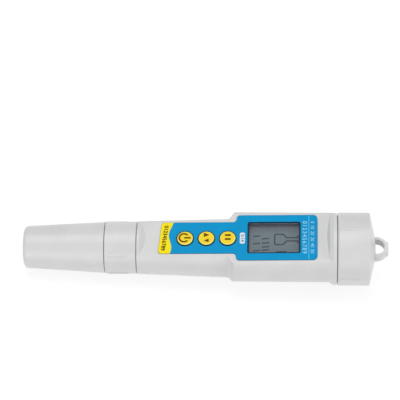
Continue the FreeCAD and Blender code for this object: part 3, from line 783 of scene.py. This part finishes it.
class TESTPEN_OT_label(Operator):
    """Finish the label film and print its figures and lines"""

    bl_idname = "testpen.label"
    bl_label = "Label"

    def execute(self, context):
        settings = context.scene.testpen_label
        paint(self.film_finish(settings), "label")
        self.strip_numbers(settings)
        self.line_and_rows(settings)
        self.unit_pill(settings)
        return {"FINISHED"}

    def film_finish(self, settings):
        """Blue film with a yellow strip behind a wavy edge, and painted shade on its cut edges.
        """
        gloss = 0.06
        edge_blur = 0.12 * MM
        cut_level = film_level() - 0.06 * MM
        cloud_size, cloudy_blue, cloudy_yellow = 9 * MM, 0.95, 0.97
        patch_size, smoothest, roughest = 3 * MM, 0.3, 0.4
        grain, grain_depth = 0.5 * MM, 0.006 * MM
        film = Finish("label_film", settings.film_blue, roughness=0.34)
        film.set(Specular_IOR_Level=gloss)
        along, across, out = film.split()
        turn = 2 * math.pi / settings.wave_length
        phase = film.maths("MULTIPLY_ADD", across, turn, turn * settings.wave_crest)
        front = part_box("label")[0].x + settings.strip_width
        middle = film.maths("MULTIPLY_ADD", across, settings.wave_slant, front)
        wave = film.maths("COSINE", phase)
        edge = film.maths("MULTIPLY_ADD", wave, settings.wave_swing, middle)
        past = film.maths("SUBTRACT", along, edge)
        share = film.maths("MULTIPLY_ADD", past, 1 / edge_blur, 0.5)
        share = film.maths("MINIMUM", film.maths("MAXIMUM", share, 0.0), 1.0)
        cloud = film.spread(film.noise(cloud_size), 0, 1)
        deep_blue = scaled(settings.film_blue, cloudy_blue)
        deep_yellow = scaled(settings.film_yellow, cloudy_yellow)
        blue = film.blend(cloud, deep_blue, settings.film_blue)
        yellow = film.blend(cloud, deep_yellow, settings.film_yellow)
        film.colour(film.blend(share, yellow, blue))
        # Painted shade on the film's cut edges, below the film's face
        film.cover(film.maths("LESS_THAN", out, cut_level), settings.edge_navy)
        film.rough(patch_size, smoothest, roughest)
        film.bump(film.noise(grain, detail=2), grain_depth)
        return film

    def strip_numbers(self, settings):
        """Plain figures on the yellow strip, in a row that follows its slanted edge."""
        inset, slant = 3.0 * MM, 0.1
        height, pitch, bold = 2.0 * MM, 1.53 * MM, 0.1 * MM
        count = 10
        thin = settings.ink_thickness
        brown = inked("dark_ink", settings.ink_brown)
        row_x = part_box("label")[0].x + inset
        for digit in range(count):
            y = ((count - 1) / 2 - digit) * pitch
            place = film_place(row_x + y * slant, y, thin / 2)
            name = f"strip_number_{digit}"
            printed_number(name, str(digit), height, place, thin, brown, bold)

    def line_and_rows(self, settings):
        """A line across the label's rear end, with a row of figures on each side."""
        line_inset, line_margin, line_width = 4.4 * MM, 0.4 * MM, 0.42 * MM
        row_length, bold = 19.6 * MM, 0.03 * MM
        thin = settings.ink_thickness
        pale = inked("pale_ink", settings.ink_pale)
        cyan = inked("line_ink", srgb(84, 196, 244))
        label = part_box("label")
        line_x = label[1].x - line_inset
        reach = (label[1].y - label[0].y) / 2 - line_margin
        line = stroke([(-reach, 0), (reach, 0)], line_width)
        place = film_place(line_x, 0, thin)
        printed("label_line", [line], thin, place, cyan, "housing")

        # Each row's shift from the line, its height, the gap between numbers and the numbers
        rows = (
            ("front_row", -2.2 * MM, 2.3 * MM, 0.45, range(0, 10)),
            ("rear_row", 1.8 * MM, 1.8 * MM, 0.8, range(0, 60, 10)),
        )
        for name, shift, height, gap, numbers in rows:
            texts = [str(number) for number in numbers]
            places = sum(len(text) for text in texts) + gap * (len(texts) - 1)
            pitch = row_length / places
            y = row_length / 2
            for text in texts:
                y -= pitch * len(text) / 2
                place = film_place(line_x + shift, y, thin / 2)
                printed_number(f"{name}_{text}", text, height, place, thin, pale, bold)
                y -= pitch * (len(text) / 2 + gap)

    def unit_pill(self, settings):
        """A pale pill with a plain number, between the keys and the window."""
        gap, shift = 1.75 * MM, -0.3 * MM
        half_length, half_width, corner = 3.35 * MM, 1.3 * MM, 0.9 * MM
        height, bold, number_rise = 1.7 * MM, 0.05 * MM, 1.6
        thin = settings.ink_thickness
        white = inked("white_ink", srgb(226, 238, 248))
        grey = inked("pill_ink", srgb(120, 108, 122))
        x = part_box("display_lens")[0].x - gap
        pill = [rounded_points(half_length, half_width, corner)]
        place = film_place(x, shift, thin)
        printed("unit_pill", [pill], thin, place, white, "housing")
        place = film_place(x, shift, number_rise * thin)
        printed_number("unit_pill_number", "0-14", height, place, thin, grey, bold)


class TESTPEN_OT_display(Operator):
    """Finish the window and the display glass, with painted shade round the window and faint
    segments
    """

    bl_idname = "testpen.display"
    bl_label = "Display"

    def execute(self, context):
        settings = context.scene.testpen_display
        paint(self.window_finish(), "display_lens")
        paint(self.glass_finish(settings), "lcd_panel")
        self.draw_segments(settings)
        self.draw_border(settings)
        return {"FINISHED"}

    def window_finish(self):
        """Clear moulded plastic, smoked a little."""
        smoke, acrylic_ior = 0.08, 1.49
        patch_size, smoothest, roughest = 4 * MM, 0.03, 0.1
        lens = Finish("clear_window", srgb(96, 104, 112), roughness=0.06)
        lens.set(Alpha=smoke, IOR=acrylic_ior)
        lens.rough(patch_size, smoothest, roughest)
        return lens

    def glass_finish(self, settings):
        """Dull glass with a painted shadow that darkens it towards the window's far wall."""
        shade_from, shade_to = 8.5 * MM, 2.0 * MM
        shade_tint = (0.84, 0.7, 0.78)
        gloss = 0.2
        cloud_size, cloudy = 7 * MM, 1.05
        patch_size, smoothest, roughest = 3 * MM, 0.24, 0.34
        grain, grain_depth = 0.25 * MM, 0.002 * MM
        glass = Finish("display_glass", settings.glass_colour, roughness=0.28)
        glass.set(Specular_IOR_Level=gloss)
        _, across, _ = glass.split()
        far_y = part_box("lcd_panel")[1].y
        # Painted shadow: the far wall's shade across the glass, laid as a darker tint
        limits = {"From_Min": far_y - shade_from, "From_Max": far_y - shade_to}
        shade = glass.add("ShaderNodeMapRange", Value=across, **limits)
        shade.interpolation_type = "SMOOTHSTEP"
        cloud = glass.spread(glass.noise(cloud_size), 0, 1)
        paler = scaled(settings.glass_colour, cloudy)
        glass.colour(glass.blend(cloud, settings.glass_colour, paler))
        shaded = tuple(c * tint for c, tint in zip(settings.glass_colour, shade_tint))
        glass.cover(shade.outputs[0], shaded)
        glass.rough(patch_size, smoothest, roughest)
        glass.bump(glass.noise(grain, detail=2), grain_depth)
        return glass

    def draw_border(self, settings):
        """Painted shade round the window's opening: a dark line drawn like print at the foot of
        the film's cut edge.
        """
        margin, corner = 0.8 * MM, 0.8 * MM
        film_thickness, rise = 0.5 * MM, 0.03 * MM
        width = settings.border_width
        ink = inked("window_border_shade", settings.border_colour)
        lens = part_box("display_lens")
        middle = (lens[0] + lens[1]) / 2
        half_x = (lens[1].y - lens[0].y) / 2 - margin - width / 2
        half_y = (lens[1].x - lens[0].x) / 2 - margin - width / 2
        border = stroke(rounded_points(half_x, half_y, corner), width, True)
        place = film_place(middle.x, middle.y, rise - film_thickness)
        thin = PRINT_THICKNESS
        # Painted shade round the window, laid as a thin dark sheet
        printed("window_border_shade", [border], thin, place, ink, "housing")

    def draw_segments(self, settings):
        """Faint segments of digits and a flask sign, drawn on the glass."""
        towards_wall = 1.5 * MM
        width = settings.segment_width
        ink = inked("display_segments", settings.segment_colour)
        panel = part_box("lcd_panel")
        middle = (panel[0] + panel[1]) / 2
        place = film_place(middle.x, middle.y + towards_wall, face_lift("lcd_panel"))
        signs = {
            "display_digits": self.digit_strokes(settings.digit_height, width),
            "display_flask": self.flask_strokes(width),
            "display_bar": self.bar_strokes(width),
        }
        for name, strokes in signs.items():
            printed(name, strokes, SEGMENT_THICKNESS, place, ink, "housing")

    def digit_strokes(self, height, width):
        """Upright segments of three digits, with their tops to the battery cap."""
        foot, gap, lean = -11.4 * MM, 0.4 * MM, 0.08
        half = height / 2
        lower, upper, both = (0,), (1,), (0, 1)
        uprights = ((-0.8, lower), (1.2, upper), (3.8, both), (6.1, upper), (8.0, both))
        strokes = []
        for right, halves in uprights:
            for step in halves:
                start = foot + step * half + gap
                end = start + half - 2 * gap
                points = [(right * MM - lean * (y - foot), y) for y in (start, end)]
                strokes.append(stroke(points, width))
        return strokes

    def flask_strokes(self, width):
        """A flask on its side: base, shoulders, neck and lip."""
        centre, corner = 1.1 * MM, 0.5 * MM
        base, shoulder, neck, lip = (y * MM for y in (0.2, 4.6, 6.4, 12.1))
        half_body, half_neck, half_lip = (x * MM for x in (3.1, 1.0, 2.6))
        strokes = []
        for side in (-1, 1):
            outline = [
                (0, base),
                (side * (half_body - corner), base),
                (side * half_body, base + corner),
                (side * half_body, shoulder),
                (side * half_neck, neck),
                (side * half_neck, lip),
                (side * half_lip, lip),
            ]
            strokes.append(stroke([(x + centre, y) for x, y in outline], width))
        return strokes

    def bar_strokes(self, width):
        """A short bar beside the flask."""
        right, start, end = 8.6 * MM, 1.0 * MM, 6.4 * MM
        return [stroke([(right, start), (right, end)], width)]


class TESTPEN_OT_keys(Operator):
    """Finish the three rubber keys and print a plain mark on each"""

    bl_idname = "testpen.keys"
    bl_label = "Keys"

    def execute(self, context):
        settings = context.scene.testpen_keys
        rubber = self.rubber_finish(settings)
        ink = inked("key_mark_ink", settings.mark_colour)
        width = settings.mark_width
        marks = {
            "button_power": self.power_mark(width),
            "button_mode": self.arrow_marks(),
            "button_hold": self.bar_marks(width),
        }
        for node, strips in marks.items():
            paint(rubber, node)
            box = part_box(node)
            middle = (box[0] + box[1]) / 2
            place = film_place(middle.x, middle.y, face_lift(node))
            printed(f"{node}_mark", strips, PRINT_THICKNESS, place, ink, node)
        return {"FINISHED"}

    def rubber_finish(self, settings):
        """Yellow rubber with a painted highlight on the bevelled rim and painted shade on the
        sides down in the holes.
        """
        highlight_rim_height, shaded_side_height = 0.76 * MM, 0.3 * MM
        gloss, sheen = 0.3, 0.08
        wear_size, worn = 3 * MM, 0.93
        patch_size, smoothest, roughest = 1.5 * MM, 0.42, 0.55
        grain, grain_depth = 0.3 * MM, 0.008 * MM
        rubber = Finish("key_rubber", settings.key_colour, roughness=0.48)
        rubber.set(Specular_IOR_Level=gloss, Sheen_Weight=sheen)
        wear = rubber.spread(rubber.noise(wear_size), 0, 1)
        rubber.colour(rubber.blend(wear, scaled(settings.key_colour, worn), settings.key_colour))
        _, _, out = rubber.split()
        above = rubber.maths("SUBTRACT", out, film_level())
        # Painted highlight on the bevelled rim
        rubber.cover(rubber.maths("LESS_THAN", above, highlight_rim_height), settings.rim_colour)
        # Painted shade on the key's sides below the rim
        rubber.cover(rubber.maths("LESS_THAN", above, shaded_side_height), settings.side_colour)
        rubber.rough(patch_size, smoothest, roughest)
        rubber.bump(rubber.noise(grain, detail=2), grain_depth)
        return rubber

    def power_mark(self, width):
        """A ring that is open at the top, with a bar through the opening."""
        centre, radius, opening = -0.6 * MM, 2.4 * MM, 42
        bar_foot, bar_top = 0.1 * MM, 3.5 * MM
        ring = arc_points((0, centre), radius, 90 + opening, 450 - opening, steps=40)
        bar = [(0, centre + bar_foot), (0, centre + bar_top)]
        return [stroke(ring, width), stroke(bar, width)]

    def arrow_marks(self):
        """One triangle that points up and a smaller one that points down."""
        rising = [(-3.0 * MM, -1.4 * MM), (-0.4 * MM, -1.4 * MM), (-1.7 * MM, 1.5 * MM)]
        falling = [(1.7 * MM, -1.3 * MM), (2.8 * MM, 1.2 * MM), (0.6 * MM, 1.2 * MM)]
        return [[rising], [falling]]

    def bar_marks(self, width):
        """Two short upright bars."""
        half, thicker = 1.5 * MM, 1.2
        return [
            stroke([(right, -half), (right, half)], width * thicker)
            for right in (-1.5 * MM, 0.9 * MM)
        ]


class TESTPEN_OT_sensor(Operator):
    """Finish the probe, its pins and the seals"""

    bl_idname = "testpen.sensor"
    bl_label = "Sensor end"

    def execute(self, context):
        plastic = moulded("probe_plastic", srgb(176, 178, 180), roughness=0.38)
        steel = surfaced(
            "electrode_steel",
            srgb(188, 190, 192),
            roughness=(0.18, 0.34),
            patch=0.8 * MM,
            grain=0.3 * MM,
            depth=0.004 * MM,
            metallic=1.0,
            stretch=(0.1, 1, 1),
        )
        soft = {"patch": 0.9 * MM, "grain": 0.25 * MM, "depth": 0.01 * MM}
        rubber = surfaced("seal_rubber", srgb(34, 35, 36), roughness=(0.48, 0.66), **soft)
        silicone = surfaced("silicone_seal", srgb(196, 198, 198), roughness=(0.44, 0.6), **soft)
        paint(plastic, "probe_body", "probe_plug", "probe_socket")
        paint(steel, "electrode_front", "electrode_back", "thermistor_tube")
        paint(rubber, "cap_seal")
        paint(silicone, "probe_seal", "nose_seal")
        return {"FINISHED"}


class TESTPEN_OT_inside(Operator):
    """Finish the circuit board, the battery bay and the cells"""

    bl_idname = "testpen.inside"
    bl_label = "Inside"

    def execute(self, context):
        dark = moulded("dark_plastic", srgb(40, 41, 43), roughness=0.45)
        pale = moulded("bay_plastic", srgb(206, 206, 204), roughness=0.45)
        carrier = moulded("carrier_plastic", srgb(52, 54, 57), roughness=0.42)
        blue = moulded("trimmer_case", srgb(38, 84, 150), roughness=0.4)
        brass = surfaced(
            "trimmer_brass",
            srgb(196, 164, 92),
            roughness=(0.25, 0.42),
            patch=0.6 * MM,
            grain=0.25 * MM,
            depth=0.004 * MM,
            metallic=1.0,
        )
        steel = surfaced(
            "bright_steel",
            srgb(196, 197, 199),
            roughness=(0.2, 0.36),
            patch=1.2 * MM,
            grain=0.4 * MM,
            depth=0.004 * MM,
            metallic=1.0,
            stretch=(0.2, 1, 1),
        )
        grey = surfaced(
            "mat_rubber",
            srgb(120, 122, 124),
            roughness=(0.52, 0.68),
            patch=1.4 * MM,
            grain=0.3 * MM,
            depth=0.01 * MM,
        )
        paint(self.board_finish(), "main_board")
        paint(dark, "controller_chip", "display_frame")
        paint(dark, "switch_power", "switch_mode", "switch_hold")
        paint(pale, "bay_frame")
        paint(carrier, "battery_carrier")
        paint(blue, "trimmer_body")
        paint(brass, "trimmer_screw")
        paint(steel, "bay_screws", "spring_contact", "plate_contact", "crystal")
        paint(steel, "cell_1", "cell_2", "cell_3", "cell_4")
        paint(grey, "keypad_mat", "zebra_strip_front", "zebra_strip_back")
        return {"FINISHED"}

    def board_finish(self):
        """Green board with paler tracks under its lacquer."""
        track_spacing, track_width, track_depth = 2.2 * MM, 0.04, 0.02 * MM
        patch_size, smoothest, roughest = 2 * MM, 0.32, 0.45
        greens = {"Color1": (26, 88, 56), "Color2": (34, 104, 66), "Mortar": (52, 126, 84)}
        board = Finish("circuit_board", srgb(28, 92, 58), roughness=0.38)
        greens = {part: (*srgb(*green), 1) for part, green in greens.items()}
        scale = {"Scale": 1 / track_spacing, "Mortar_Size": track_width}
        tracks = board.add("ShaderNodeTexBrick", Vector=board.place, **scale, **greens)
        board.colour(tracks.outputs["Color"])
        board.bump(tracks.outputs["Fac"], track_depth)
        board.rough(patch_size, smoothest, roughest)
        return board


def white_to_camera(tree, shaded, plain):
    """Plain white for the camera's rays and those seen in gloss or glass, else shaded."""
    rays = tree.nodes.new("ShaderNodeLightPath")
    either = rays.outputs["Is Camera Ray"]
    for name in ("Is Glossy Ray", "Is Transmission Ray"):
        join = tree.nodes.new("ShaderNodeMath")
        join.operation = "MAXIMUM"
        tree.links.new(either, join.inputs[0])
        tree.links.new(rays.outputs[name], join.inputs[1])
        either = join.outputs[0]
    mix = tree.nodes.new("ShaderNodeMixShader")
    tree.links.new(either, mix.inputs[0])
    tree.links.new(shaded, mix.inputs[1])
    tree.links.new(plain, mix.inputs[2])
    return mix.outputs[0]


class TESTPEN_OT_stage(Operator):
    """Lay the pen on a plain pale floor in soft studio light and set the camera"""

    bl_idname = "testpen.stage"
    bl_label = "Stage"

    def execute(self, context):
        settings = context.scene.testpen_stage
        self.lay_floor(context.scene)
        self.light_room(context.scene, settings)
        self.hang_lamps(context.scene, settings)
        self.set_camera(context.scene, settings)
        return {"FINISHED"}

    def lay_floor(self, scene):
        """A floor under the pen's two lowest points that glows almost white."""
        reach = 4.0
        glow_strength, paper_grey = 0.8, 0.26
        grain, grain_depth = 1.5 * MM, 0.01 * MM
        x0, z0, slope = resting_plane()
        mesh = bpy.data.meshes.new("studio_floor")
        corners = [(-reach, -reach, 0), (reach, -reach, 0), (reach, reach, 0), (-reach, reach, 0)]
        mesh.from_pydata(corners, [], [(0, 1, 2, 3)])
        floor = bpy.data.objects.new("studio_floor", mesh)
        scene.collection.objects.link(floor)
        tilt = Matrix.Rotation(-math.atan(slope), 4, "Y")
        floor.matrix_world = Matrix.Translation((x0, 0, z0)) @ tilt
        finish = Finish("studio_floor", (0.9, 0.9, 0.9), roughness=0.9)
        glow = finish.add("ShaderNodeEmission", Strength=glow_strength)
        paper = finish.add("ShaderNodeBsdfDiffuse", Color=(*[paper_grey] * 3, 1))
        both = finish.nodes.new("ShaderNodeAddShader")
        finish.links.new(paper.outputs[0], both.inputs[0])
        finish.links.new(glow.outputs[0], both.inputs[1])
        tree = finish.material.node_tree
        seen = white_to_camera(tree, finish.shader.outputs[0], both.outputs[0])
        finish.links.new(seen, finish.nodes["Material Output"].inputs["Surface"])
        finish.bump(finish.noise(grain, detail=2), grain_depth)
        mesh.materials.append(finish.material)

    def light_room(self, scene, settings):
        """Even white light from all sides, and plain white behind the pen."""
        white = (1, 1, 1, 1)
        world = bpy.data.worlds.new("studio_room")
        world.use_nodes = True
        tree = world.node_tree
        room = tree.nodes["Background"]
        room.inputs["Color"].default_value = white
        room.inputs["Strength"].default_value = settings.room_light
        plain = tree.nodes.new("ShaderNodeBackground")
        plain.inputs["Color"].default_value = white
        plain.inputs["Strength"].default_value = 1.0
        seen = white_to_camera(tree, room.outputs[0], plain.outputs[0])
        tree.links.new(seen, tree.nodes["World Output"].inputs["Surface"])
        scene.world = world
        scene.view_settings.view_transform = "Standard"

    def hang_lamps(self, scene, settings):
        """Three soft lamps: one in front, one above and behind, one past the battery cap."""
        # Each lamp's place, the station it faces, its length and width, and its share of power
        lamps = (
            ("soft_lamp_front", (-0.3, -1.15, 0.27), -0.3, 0.9, 0.7, 0.5),
            ("soft_lamp_back", (-0.02, 0.25, 1.15), -0.02, 0.9, 0.7, 0.65),
            ("soft_lamp_side", (1.4, -0.2, 0.5), 0.09, 0.8, 0.8, 0.58),
        )
        for name, spot, station, length, width, share in lamps:
            data = bpy.data.lights.new(name, "AREA")
            data.shape = "RECTANGLE"
            data.size = length
            data.size_y = width
            data.energy = settings.lamp_power * share
            lamp = bpy.data.objects.new(name, data)
            lamp.location = spot
            aim = Vector((station, 0, 0)) - Vector(spot)
            lamp.rotation_euler = aim.to_track_quat("-Z", "Y").to_euler()
            scene.collection.objects.link(lamp)

    def set_camera(self, scene, settings):
        """A long lens that looks down on the label's side of the pen."""
        data = bpy.data.cameras.new("camera")
        data.sensor_width = 36
        data.lens = settings.lens
        data.clip_start = 0.01
        data.clip_end = 50
        camera = bpy.data.objects.new("camera", data)
        scene.collection.objects.link(camera)
        rise = settings.elevation
        back = Vector((0, -math.cos(rise), math.sin(rise)))
        up = Vector((0, math.sin(rise), math.cos(rise)))
        eye = Vector((settings.camera_station, 0, 0)) + back * settings.distance
        aim = Vector((settings.aim_station, 0, 0)) + up * settings.aim_above
        turn = (aim - eye).to_track_quat("-Z", "Y").to_matrix().to_4x4()
        roll = Matrix.Rotation(settings.roll, 4, "Z")
        camera.matrix_world = Matrix.Translation(eye) @ turn @ roll
        scene.camera = camera


class TESTPEN_PT_sidebar(Panel):
    """Settings and steps of the test pen"""

    bl_label = "Test pen"
    bl_idname = "TESTPEN_PT_sidebar"
    bl_space_type = "VIEW_3D"
    bl_region_type = "UI"
    bl_category = "Test pen"

    def draw(self, context):
        for group, step in STEPS:
            box = self.layout.box()
            if group:
                settings = getattr(context.scene, group)
                for name in settings.__annotations__:
                    box.prop(settings, name)
            box.operator(step)


STEPS = (
    ("testpen_shell", "testpen.shell"),
    ("testpen_label", "testpen.label"),
    ("testpen_display", "testpen.display"),
    ("testpen_keys", "testpen.keys"),
    (None, "testpen.sensor"),
    (None, "testpen.inside"),
    ("testpen_stage", "testpen.stage"),
)
SETTINGS = {
    "testpen_shell": ShellSettings,
    "testpen_label": LabelSettings,
    "testpen_display": DisplaySettings,
    "testpen_keys": KeySettings,
    "testpen_stage": StageSettings,
}
OPERATORS = (
    TESTPEN_OT_shell,
    TESTPEN_OT_label,
    TESTPEN_OT_display,
    TESTPEN_OT_keys,
    TESTPEN_OT_sensor,
    TESTPEN_OT_inside,
    TESTPEN_OT_stage,
)


def register():
    for name, group in SETTINGS.items():
        bpy.utils.register_class(group)
        setattr(bpy.types.Scene, name, PointerProperty(type=group))
    for operator in OPERATORS:
        bpy.utils.register_class(operator)
    bpy.utils.register_class(TESTPEN_PT_sidebar)


def unregister():
    bpy.utils.unregister_class(TESTPEN_PT_sidebar)
    for operator in reversed(OPERATORS):
        bpy.utils.unregister_class(operator)
    for name, group in reversed(SETTINGS.items()):
        delattr(bpy.types.Scene, name)
        bpy.utils.unregister_class(group)


def main():
    register()
    bpy.ops.testpen.shell()
    bpy.ops.testpen.label()
    bpy.ops.testpen.display()
    bpy.ops.testpen.keys()
    bpy.ops.testpen.sensor()
    bpy.ops.testpen.inside()
    bpy.ops.testpen.stage()


if __name__ == "__main__":
    main()
